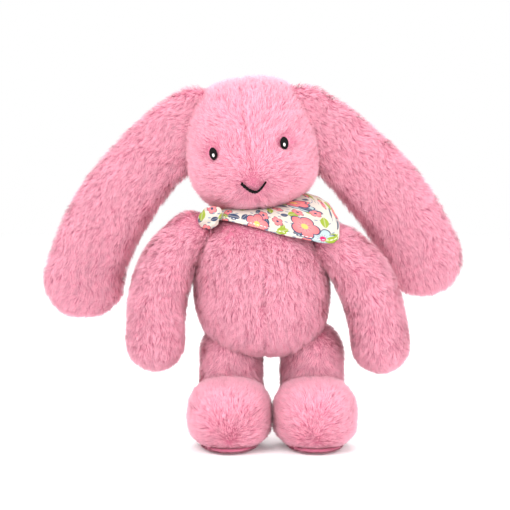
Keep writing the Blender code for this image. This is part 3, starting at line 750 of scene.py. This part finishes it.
# ---- filling
def fill(skin, sewn):
    """Fills the skin under pressure as cloth; sewn(points) says which hold still."""
    remesh = skin.modifiers.new("remesh", "REMESH")
    remesh.mode = "VOXEL"
    remesh.voxel_size = FILL_VOXEL
    bake_modifiers(skin)
    rest = read_points(skin.data)
    group = skin.vertex_groups.new(name="sewn")
    group.add([int(i) for i in np.nonzero(sewn(rest))[0]], 1.0, "REPLACE")
    cloth = skin.modifiers.new("cloth", "CLOTH")
    cloth.settings.vertex_group_mass = "sewn"
    cloth.settings.use_pressure = True
    cloth.settings.uniform_pressure_force = 4.0
    cloth.settings.tension_stiffness = 12.0
    cloth.settings.compression_stiffness = 4.0
    cloth.settings.bending_stiffness = 0.2
    cloth.settings.effector_weights.gravity = 0.0
    for number in range(FILL_FRAMES):
        bpy.context.scene.frame_set(number + 1)
    bake_modifiers(skin)
    moved = read_points(skin.data) - rest
    size = np.maximum(np.linalg.norm(moved, axis=1), 1e-9)[:, None]
    write_points(skin.data, rest + moved * np.minimum(1, FILL_MOVE / size))
    smooth = skin.modifiers.new("smooth", "SUBSURF")
    smooth.levels = 1
    bake_modifiers(skin)
    bpy.context.scene.frame_set(1)


def bake_modifiers(obj):
    """Turns what the object's modifiers show into its mesh."""
    shown = obj.evaluated_get(bpy.context.evaluated_depsgraph_get())
    mesh = bpy.data.meshes.new_from_object(shown)
    obj.modifiers.clear()
    obj.vertex_groups.clear()
    obj.data = mesh
    mesh.shade_smooth()


# ---- sub-parts
def middle_of(node):
    """Centre and half sizes of a CAD node's box."""
    low, high = (np.array(corner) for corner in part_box(node))
    return (low + high) / 2, (high - low) / 2


def joint_at(name):
    return np.array(JOINTS[name]["pos_m"])


def level_spread(z, roundness):
    """How much wider a level section is than a sphere's, which is at 2."""
    flat = np.sqrt(np.maximum(1 - z**2, 1e-9))
    return (1 - np.abs(z) ** roundness) ** (1 / roundness) / flat


def head_spread(z):
    """The head's level sections: full cheeks, a slightly narrower crown."""
    return (1 - 0.06 * z) * level_spread(z, np.where(z < 0, 2.5, 2.8))


def head_place(unit):
    """The head about its centre: wide cheeks, low muzzle, a seam down the face."""
    z = unit[:, 2]
    point = unit * HEAD_HALF
    point[:, :2] *= head_spread(z)[:, None]
    front = unit[:, 1] < 0
    muzzle = ease(1 - np.sqrt(unit[:, 0] ** 2 + (z + 0.45) ** 2) / 0.75)
    point[:, 1] -= np.where(front, MUZZLE_REACH, 0) * muzzle
    seam = bell(unit[:, 0], 0.05) * ease((1 - np.abs(z)) / 0.3)
    point[:, 1] += np.where(front, FACE_SEAM_DEPTH, 0) * seam
    return point


def in_row_frame(local):
    """Places of the head's own frame, in the frame of the whole toy."""
    return local @ HEAD_TURN.T + HEAD_CENTRE


def on_head(points):
    """Places in the head's own frame."""
    return (points - HEAD_CENTRE) @ HEAD_TURN


def face_point(x, z, lift):
    """Point of the face over (x, z) of the head's frame, lifted off the skin."""
    unit_z = z / HEAD_HALF[2]
    unit_x = x / (HEAD_HALF[0] * head_spread(np.array([unit_z]))[0])
    unit = np.array([[unit_x, -np.sqrt(1 - unit_x**2 - unit_z**2), unit_z]])
    return in_row_frame(head_place(unit) + lift * unit)[0]


def away_then_down(points, source, depth):
    """Away from source in front, turning straight down behind depth 0."""
    away = unit_rows(points - source)
    back = ease((depth + 0.010) / 0.030)[:, None]
    return away * (1 - back) + DOWN * back


def build_head():
    """The head, with short fur round the eyes and mouth and along the seam."""
    skin = sphere_form("skin_head", 72, 56, lambda unit: in_row_frame(head_place(unit)))
    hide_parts("head_cover")
    eyes = [on_head(middle_of(f"eye_{name}")[0][None, :])[0] for name in SIDES]

    def comb(points):
        return away_then_down(points, in_row_frame(NOSE), on_head(points)[:, 1])

    def trim(points):
        # Fur cut short here is also darker: painted shade round the eyes and mouth and along the seam.
        local = on_head(points)
        length = np.full(len(points), 0.92)
        for eye in eyes:
            away = np.hypot(local[:, 0] - eye[0], local[:, 2] - eye[2])
            length = np.minimum(length, 0.22 + 0.7 * ease((away - 0.004) / 0.006))
        away = np.hypot(local[:, 0] / 1.3, local[:, 2] + 0.033)
        length = np.minimum(length, 0.42 + 0.50 * ease((away - 0.005) / 0.007))
        seam = bell(local[:, 0], 0.0016)
        return np.where(local[:, 1] < 0, length * (1 - 0.4 * seam), 0.92)

    dress(skin, comb, "head", 11, trim)


def stitch_frame(centre):
    """Axes at a place on the head: across, off the head, up."""
    out = on_head(centre[None, :])[0] / HEAD_HALF**2
    out = HEAD_TURN @ (out / np.linalg.norm(out))
    up = HEAD_TURN[:, 2]
    across = np.cross(up, out)
    across /= np.linalg.norm(across)
    return np.stack([across, out, np.cross(out, across)], axis=1)


def satin_stitch(name, node, half, lift, pitch, finish):
    """A raised dome of laid thread where the CAD has its stitch."""
    centre = middle_of(node)[0]
    axes = stitch_frame(centre)

    def place(unit):
        ridge = np.abs(np.cos(unit[:, 2] * half[2] * pi / pitch + unit[:, 0] * 0.8))
        size = 1 + 0.05 * (ridge - 0.5)
        local = unit * half * size[:, None]
        local[:, 1] += lift
        return local @ axes.T + centre

    add_finished(sphere_form(name, 72, 64, place), node, "head", finish)


def build_eyes():
    for name in SIDES:
        satin_stitch(f"stitched_eye_{name}", f"eye_{name}", EYE_HALF, 0.0012, 0.0006, BLACK)
        satin_stitch(
            f"stitched_glint_{name}", f"eye_glint_{name}", GLINT_HALF, 0.0008, 0.0005, WHITE
        )


def build_mouth():
    """Two plies of thread twisted together along the smile."""
    shares = np.linspace(-1, 1, 81)
    rise = 0.0034 * shares**2 + 0.0050 * (np.sqrt(shares**2 + 0.10) - 0.316) - 0.0009 * shares
    line = np.array([
        face_point(s * MOUTH_HALF_WIDTH, MOUTH_Z + r, MOUTH_LIFT) for s, r in zip(shares, rise)
    ])
    bm = bmesh.new()
    for phase in (0, pi):
        ply = place_in_scene("mouth_ply", thread_curve(line, shares * MOUTH_TWIST + phase))
        shown = ply.evaluated_get(bpy.context.evaluated_depsgraph_get())
        bm.from_mesh(bpy.data.meshes.new_from_object(shown))
        bpy.data.objects.remove(ply)
    mesh = bpy.data.meshes.new("stitched_mouth")
    bm.to_mesh(mesh)
    bm.free()
    mesh.shade_smooth()
    add_finished(place_in_scene("stitched_mouth", mesh), "mouth", "head", BLACK)


def thread_curve(line, turn):
    """A round thread that winds about the line by the angles in turn."""
    curve = bpy.data.curves.new("mouth_ply", "CURVE")
    curve.dimensions = "3D"
    curve.bevel_depth = MOUTH_THREAD
    curve.bevel_resolution = 3
    curve.use_fill_caps = True
    spline = curve.splines.new("POLY")
    spline.points.add(len(line) - 1)
    for point, at, angle in zip(spline.points, line, turn):
        point.co = (*(at + 0.00050 * np.array([0.5 * cos(angle), sin(angle), cos(angle)])), 1)
    return curve


def build_torso():
    """A pear with square shoulders, a dimple and a belly seam."""
    low, high = (np.array(corner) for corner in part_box("torso_cover"))
    seat = np.array([(low[0] + high[0]) / 2, (low[1] + high[1]) / 2, low[2] - 0.004])
    top = NECK + [0.001, 0.0, 0.0025]

    def from_dimple(points):
        return np.hypot(points[:, 0] - seat[0] - DIMPLE_X, points[:, 2] - seat[2] - DIMPLE_Z)

    def place(unit):
        z = unit[:, 2]
        share = (z + 1) / 2
        spread = level_spread(z, 2.9) * (1 - 0.07 * ease((z + 0.2) / 1.1))
        square = 2.0 + 0.7 * ease((z + 0.3) / 0.8)
        flat = np.maximum(np.hypot(unit[:, 0], unit[:, 1]), 1e-9)
        level = unit[:, :2] / flat[:, None]
        corner = (np.abs(level[:, 0]) ** square + np.abs(level[:, 1]) ** square) ** (1 / square)
        spread /= np.maximum(corner, 0.5)
        half = TORSO_HALF - FILL_INSET
        point = seat + share[:, None] * (top - seat)
        point[:, 0] += unit[:, 0] * spread * half[0]
        point[:, 1] += unit[:, 1] * spread * half[1]
        front = unit[:, 1] < 0
        dimple = bell(from_dimple(point), 0.0075)
        point[:, 1] += np.where(front, DIMPLE_DEPTH, 0) * dimple
        seam = bell(point[:, 0] - seat[0], 0.0022)
        point[:, 1] += np.where(front, BELLY_SEAM_DEPTH, 0) * seam
        return point

    skin = sphere_form("skin_torso", 72, 56, place)
    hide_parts("torso_cover")
    fill(skin, lambda p: (p[:, 2] > top[2] - 0.012) | (p[:, 2] < seat[2] + 0.010))

    def trim(points):
        # Fur cut short here is also darker: painted shadow under the neckerchief, painted shade in the
        # seam and dimple.
        under_cloth = ease((points[:, 2] - 0.158) / 0.022)
        seam = bell(points[:, 0] - seat[0], 0.0018) * (points[:, 1] < 0)
        dimple = bell(from_dimple(points), 0.005) * (points[:, 1] < 0)
        return (1 - 0.5 * under_cloth) * (1 - 0.35 * seam) * (1 - 0.5 * dimple)

    dress(skin, lambda p: np.tile(DOWN, (len(p), 1)), "torso", 12, trim)


def build_ears():
    for name, side in SIDES.items():
        root, fold = joint_at(f"ear_lift_{name}"), joint_at(f"ear_fold_{name}")
        limb = Limb(
            f"skin_ear_{name}", side, root - [0.0, EAR_FORWARD, 0.0], EAR_LEAN[name], EAR_LENGTH[name],
            EAR_ANGLES[name], EAR_RADII, lambda s: 0.0285 + 0.0053 * ease(s / 0.5),
            lambda s: EAR_HALF_DEPTH + 0 * s,
        )
        skin = limb.form(64, 80, FILL_INSET)
        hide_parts(f"ear_cover_base_{name}", f"ear_cover_tip_{name}")
        fill(skin, lambda p, root=root: np.linalg.norm(p - root, axis=1) < 0.030)
        reach = EAR_FOLD_REACH * limb.comb(fold[None, :])[0]
        bodies = (f"ear_{name}", f"ear_tip_{name}", fold - reach, fold + reach)
        dress(skin, limb.comb, bodies, 20 + side)


def build_arms():
    def half_size(share):
        return 0.0185 + 0.0036 * ease(share / 0.4)

    def trim(points):
        # Fur cut short here is also darker: painted shadow under the neckerchief.
        under_cloth = ease((points[:, 2] - 0.166) / 0.014) * ease((0.078 - points[:, 0]) / 0.01)
        return 1 - np.where(points[:, 0] > 0, 0.5, 0.25) * under_cloth

    for name, side in SIDES.items():
        root = joint_at(f"arm_lift_{name}")
        limb = Limb(
            f"skin_arm_{name}", side, root, 0, ARM_LENGTH, ARM_ANGLES[name], ARM_RADII, half_size,
            half_size, 2.0,
        )
        skin = limb.form(56, 60, FILL_INSET)
        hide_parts(f"arm_cover_{name}")
        fill(skin, lambda p, root=root: np.linalg.norm(p - root, axis=1) < 0.019)
        dress(skin, limb.comb, f"arm_{name}", 30 + side, trim)
        thread_ring(f"arm_seam_{name}", f"shoulder_seam_{name}", f"shoulder_{name}")


def build_legs():
    def half_size(share):
        return LEG_RADIUS + 0 * share

    for name, side in SIDES.items():
        limb = Limb(
            f"skin_leg_{name}", side, joint_at(f"hip_{name}"), 0, LEG_LENGTH, (0, 0),
            (LEG_RADIUS, LEG_RADIUS), half_size, half_size,
        )
        skin = limb.form(48, 36)
        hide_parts(f"leg_cover_{name}")
        dress(skin, limb.comb, f"leg_{name}", 40 + side)


def build_feet():
    for name, side in SIDES.items():
        centre = middle_of(f"foot_cover_{name}")[0]
        centre[2] = FOOT_CENTRE_Z

        def place(unit, centre=centre):
            point = unit * (FOOT_HALF - FILL_INSET)
            low_part = level_spread(unit[:, 2], 2.9)
            high_part = level_spread(unit[:, 2], 2.4)
            point[:, :2] *= np.where(unit[:, 2] < 0, low_part, high_part)[:, None]
            point += centre
            point[:, 2] = np.maximum(point[:, 2], FOOT_UNDERSIDE_Z)
            return point

        skin = sphere_form(f"skin_foot_{name}", 60, 44, place)
        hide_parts(f"foot_cover_{name}")
        fill(skin, lambda p: p[:, 2] < 0.0060)

        def comb(points, centre=centre):
            return away_then_down(points, centre + TOE, points[:, 1] - centre[1])

        dress(
            skin, comb, f"foot_{name}", 50 + side,
            # Fur cut short low on the foot is also darker: painted shade near the floor.
            lambda p: 0.5 + 0.45 * ease((p[:, 2] - 0.005) / 0.010),
        )
        build_sole(name, side, centre)


def build_sole(name, side, centre):
    """The short-pile pad under a foot."""
    middle = np.array([centre[0], centre[1] - SOLE_FORWARD, FOOT_UNDERSIDE_Z])

    def place(unit):
        point = unit * SOLE_HALF
        point[:, :2] *= level_spread(unit[:, 2], 3.0)[:, None]
        return point + middle

    skin = sphere_form(f"skin_sole_{name}", 48, 24, place)
    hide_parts(f"sole_{name}")
    dress(
        skin, lambda p: p - middle + [0, 0, 0.004], f"foot_{name}", 56 + side,
        lambda p: np.full(len(p), SOLE_PILE), SOLE_FUR,
    )


def build_tail():
    centre, half = middle_of("tail_cover")
    skin = sphere_form("skin_tail", 36, 28, lambda unit: unit * (half[0] - 0.001) + centre)
    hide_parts("tail_cover")
    dress(skin, lambda p: p - centre + [0, -0.03, -0.01], "torso", 60)


# ---- neckerchief
# Upper and lower edge of the cloth in mm from the neck joint, from the knot over
# the chest to the point on the left shoulder, and round the back.
CLOTH_EDGES = (
    ((-25, -18, 1), (-31, -28, -7)),
    ((-17, -22, 1), (-23, -32, -8)),
    ((0, -25, 1), (-1, -37, -13)),
    ((13, -24, 2), (21, -40, -19)),
    ((21, -19, 5), (37, -41, -22)),
    ((26, -13, 9), (53, -43, -25)),
    ((29, -8, 12), (63, -42, -23)),
    ((30, -2, 14), (63, -31, -7)),
    ((30, 5, 14), (58, -12, 3)),
    ((28, 12, 12), (50, 6, 8)),
    ((21, 20, 8), (39, 24, 3)),
    ((7, 27, 3), (10, 39, -7)),
    ((-13, 23, 1), (-20, 34, -8)),
    ((-25, 10, 0), (-36, 14, -6)),
    ((-27, -4, 0), (-40, -8, -4)),
    ((-27, -12, 0), (-38, -22, -5)),
)


def smooth_ring(points, count):
    """A closed Catmull-Rom curve through the points."""
    size = len(points)
    place = np.arange(count) / count * size
    low = place.astype(int)
    t = (place - low)[:, None]
    before, here, there, after = (points[(low + k) % size] for k in (-1, 0, 1, 2))
    bend = 2 * before - 5 * here + 4 * there - after
    twist = 3 * (here - there) + after - before
    return here + 0.5 * t * ((there - before) + t * (bend + t * twist))


def build_cloth():
    """A thin closed sheet with ripples and a folded hem.

    Its sections bend from the upper to the lower edge over a middle point."""
    around, down = 360, 44
    edges = np.array(CLOTH_EDGES, float) / 1000 + NECK
    upper, lower = smooth_ring(edges[:, 0], around), smooth_ring(edges[:, 1], around)
    share = np.linspace(0, 1, down)[None, :, None]
    bow = np.stack([lower[:, 0], lower[:, 1], upper[:, 2]], axis=1) * 0.75 + (upper + lower) * 0.125
    u0, l0, b0 = upper[:, None, :], lower[:, None, :], bow[:, None, :]
    sheet = u0 * (1 - share) ** 2 + 2 * b0 * share * (1 - share) + l0 * share**2
    along = np.gradient(sheet, axis=0)
    along[0] = along[-1] = sheet[1] - sheet[-1]
    normal = np.cross(along, np.gradient(sheet, axis=1))
    normal /= np.maximum(np.linalg.norm(normal, axis=2), 1e-12)[:, :, None]
    if normal[:, :, 2].mean() < 0:
        normal = -normal
    flat = sheet.reshape(-1, 3)
    ripple = 0.0011 * wobble(flat, 0.026, 71) + 0.0005 * wobble(flat, 0.011, 72)
    sheet = sheet + normal * (ripple.reshape(around, down) * share[0].T)[:, :, None]

    run = np.linalg.norm(np.diff(sheet[:, down // 2], axis=0), axis=1)
    u = np.tile(np.concatenate([[0], np.cumsum(run)])[:, None], (1, down))
    steps = np.linalg.norm(np.diff(sheet, axis=1), axis=2)
    v = np.concatenate([np.cumsum(steps[:, ::-1], axis=1)[:, ::-1], np.zeros((around, 1))], axis=1)
    thick = 0.00028 + 0.00022 * ease((HEM_WIDTH - v) / 0.0004)
    outer, inner = sheet + normal * thick[:, :, None], sheet - normal * thick[:, :, None]
    cloth = closed_sheet("neckerchief_cloth", outer, inner, np.stack([u, v], axis=2))
    add_finished(cloth, "neckerchief", "neckerchief", FLORAL)


def closed_sheet(name, outer, inner, uv):
    """Joins two layers of a ring-shaped grid along both edges."""
    around, down = outer.shape[:2]
    index = np.arange(around * down).reshape(around, down)
    after = np.roll(index, -1, axis=0)
    other = around * down
    quads = np.stack([index[:, :-1], index[:, 1:], after[:, 1:], after[:, :-1]], axis=2).reshape(-1, 4)
    rims = [
        np.stack([here, there, there + other, here + other], axis=1)
        for here, there in ((index[:, edge], after[:, edge]) for edge in (0, down - 1))
    ]
    faces = np.vstack([quads, quads[:, ::-1] + other, *rims])
    vertices = np.vstack([outer.reshape(-1, 3), inner.reshape(-1, 3)])
    mesh = mesh_from(name, vertices, faces)
    layer = mesh.uv_layers.new(name="cloth")
    flat = np.vstack([uv.reshape(-1, 2)] * 2)[faces.ravel()].reshape(-1, 4, 2)
    wraps = np.ptp(flat[:, :, 0], axis=1) > 0.05
    total = uv[-1, :, 0].max()
    low = flat[:, :, 0] < total / 2
    flat[:, :, 0] = np.where(wraps[:, None] & low, flat[:, :, 0] + total, flat[:, :, 0])
    layer.data.foreach_set("uv", flat.astype(np.float32).ravel())
    fix_normals(mesh)
    return place_in_scene(name, mesh)


def build_knot():
    """The knot: a pleated roll of cloth with one short end."""
    turn = np.array(Euler((0, radians(-35), radians(-30))).to_matrix())

    def roll(unit):
        around = np.arctan2(unit[:, 1], unit[:, 2])
        pleat = 0.0007 * np.cos(7 * around + 3 * unit[:, 0]) * (1 - unit[:, 0] ** 2)
        point = unit * KNOT_HALF
        point[:, 1:] *= (1 - 0.16 * bell(unit[:, 0] - 0.3, 0.12))[:, None]
        point += unit * pleat[:, None]
        point[:, 1:] *= (1 - 0.25 * ease(unit[:, 0]))[:, None]
        return point @ turn.T + KNOT_AT

    knot = sphere_form("tied_knot", 72, 48, roll)
    uv = knot.data.uv_layers.new(name="cloth")
    points = read_points(knot.data) - KNOT_AT
    loops = np.empty(len(knot.data.loops), np.int32)
    knot.data.loops.foreach_get("vertex_index", loops)
    uv.data.foreach_set("uv", (points[loops][:, [0, 2]] + [0.05, 0.02]).astype(np.float32).ravel())
    add_finished(knot, "neckerchief_knot", "neckerchief", FLORAL)


def thread_ring(name, node, body):
    """The overcast thread of a seam, about the X axis."""
    centre = middle_of(node)[0]
    steps, sides = 96, 12
    around = np.linspace(0, 2 * pi, steps, endpoint=False)[:, None]
    across = np.linspace(0, 2 * pi, sides, endpoint=False)[None, :]
    thick = 0.0009 * (1 + 0.25 * np.cos(24 * around + across))
    radius = 0.0100 + thick * np.cos(across)
    points = np.stack([thick * np.sin(across), radius * np.cos(around), radius * np.sin(around)], axis=2)
    index = np.arange(steps * sides).reshape(steps, sides)
    after, beside = np.roll(index, -1, axis=0), np.roll(index, -1, axis=1)
    faces = np.stack([index, after, np.roll(after, -1, axis=1), beside], axis=2).reshape(-1, 4)
    mesh = mesh_from(name, points.reshape(-1, 3) + centre, faces)
    fix_normals(mesh)
    add_finished(place_in_scene(name, mesh), node, body, SEAM)


def finish_hidden_pieces():
    """Materials of the CAD pieces that stay: fillings and neck seam."""
    finishes = {"stuffing": FILLING, "padding": FILLING, "bean_bag": LINEN, "seam": SEAM}
    for name, node in frame["nodes"].items():
        for part, finish in finishes.items():
            if part in name:
                node.data.materials.clear()
                node.data.materials.append(finish)


# ---- studio
def build_floor():
    bpy.ops.mesh.primitive_plane_add(size=6, location=(0, 0, -0.0004))
    floor = bpy.context.object
    floor.name = "floor"
    nodes = Nodes("studio_floor")
    set_inputs(nodes.shader, Emission_Color=(1, 1, 1, 1), Emission_Strength=0.12)
    floor.data.materials.append(nodes.finish((0.9, 0.9, 0.9, 1), 0.7))


def build_world():
    """White all round, a touch brighter to the camera."""
    world = bpy.data.worlds.new("studio")
    bpy.context.scene.world = world
    world.use_nodes = True
    background = world.node_tree.nodes["Background"]
    set_inputs(background, Color=(1, 1, 1, 1))
    seen = world.node_tree.nodes.new("ShaderNodeLightPath")
    strength = world.node_tree.nodes.new("ShaderNodeMapRange")
    set_inputs(strength, To_Min=0.98, To_Max=1.0)
    world.node_tree.links.new(seen.outputs["Is Camera Ray"], strength.inputs["Value"])
    world.node_tree.links.new(strength.outputs[0], background.inputs["Strength"])


def look_at(obj, place, target):
    """Puts a lamp or camera at place, facing target."""
    obj.location = place
    obj.rotation_euler = (target - obj.location).to_track_quat("-Z", "Y").to_euler()


def build_studio():
    build_floor()
    build_world()
    middle = (Vector(CAD_BOX[0]) + Vector(CAD_BOX[1])) / 2
    for name, place, size, power in LAMPS:
        light = bpy.data.lights.new(name, "AREA")
        light.size = size
        light.energy = power
        look_at(place_in_scene(name, light), place, middle)

    camera = place_in_scene("camera", bpy.data.cameras.new("camera"))
    camera.data.lens = CAMERA_LENS
    camera.data.sensor_width = CAMERA_SENSOR
    distance = VIEW_WIDTH * CAMERA_LENS / CAMERA_SENSOR
    elevation = radians(VIEW_ELEVATION)
    aim = Vector(VIEW_AIM)
    look_at(camera, aim + distance * Vector((0, -cos(elevation), sin(elevation))), aim)
    bpy.context.scene.camera = camera
    bpy.context.scene.view_settings.view_transform = "Standard"


FUR = fur_material("pink_fur", SHADED_ROOT_PINK, MID_PINK, LIT_TIP_PINK)
SOLE_FUR = fur_material("short_sole_fur", SHADED_SOLE_ROOT, SOLE_MID, LIT_SOLE_TIP)
# The backing takes the root pink: painted shade, as it lies deep under the fur.
BACKING = skin_material("plush_backing", SHADED_ROOT_PINK)
FILLING = stuffing_material()
LINEN = weave_material("pouch_linen", (0.55, 0.50, 0.42, 1), (0.82, 0.78, 0.70, 1), 0.0008)
SEAM = thread_material("seam_thread", (0.50, 0.14, 0.22, 1), (0.85, 0.34, 0.46, 1), 0.7, 0.3)
BLACK = thread_material("black_thread", (0.001, 0.001, 0.001, 1), (0.008, 0.006, 0.007, 1), 0.55, 0.12)
WHITE = thread_material("white_thread", (0.78, 0.76, 0.76, 1), (0.97, 0.96, 0.96, 1), 0.5, 0.4)
FLORAL = floral_material()
build_head()
build_eyes()
build_mouth()
build_torso()
build_ears()
build_arms()
build_legs()
build_feet()
build_tail()
build_cloth()
build_knot()
finish_hidden_pieces()
build_studio()
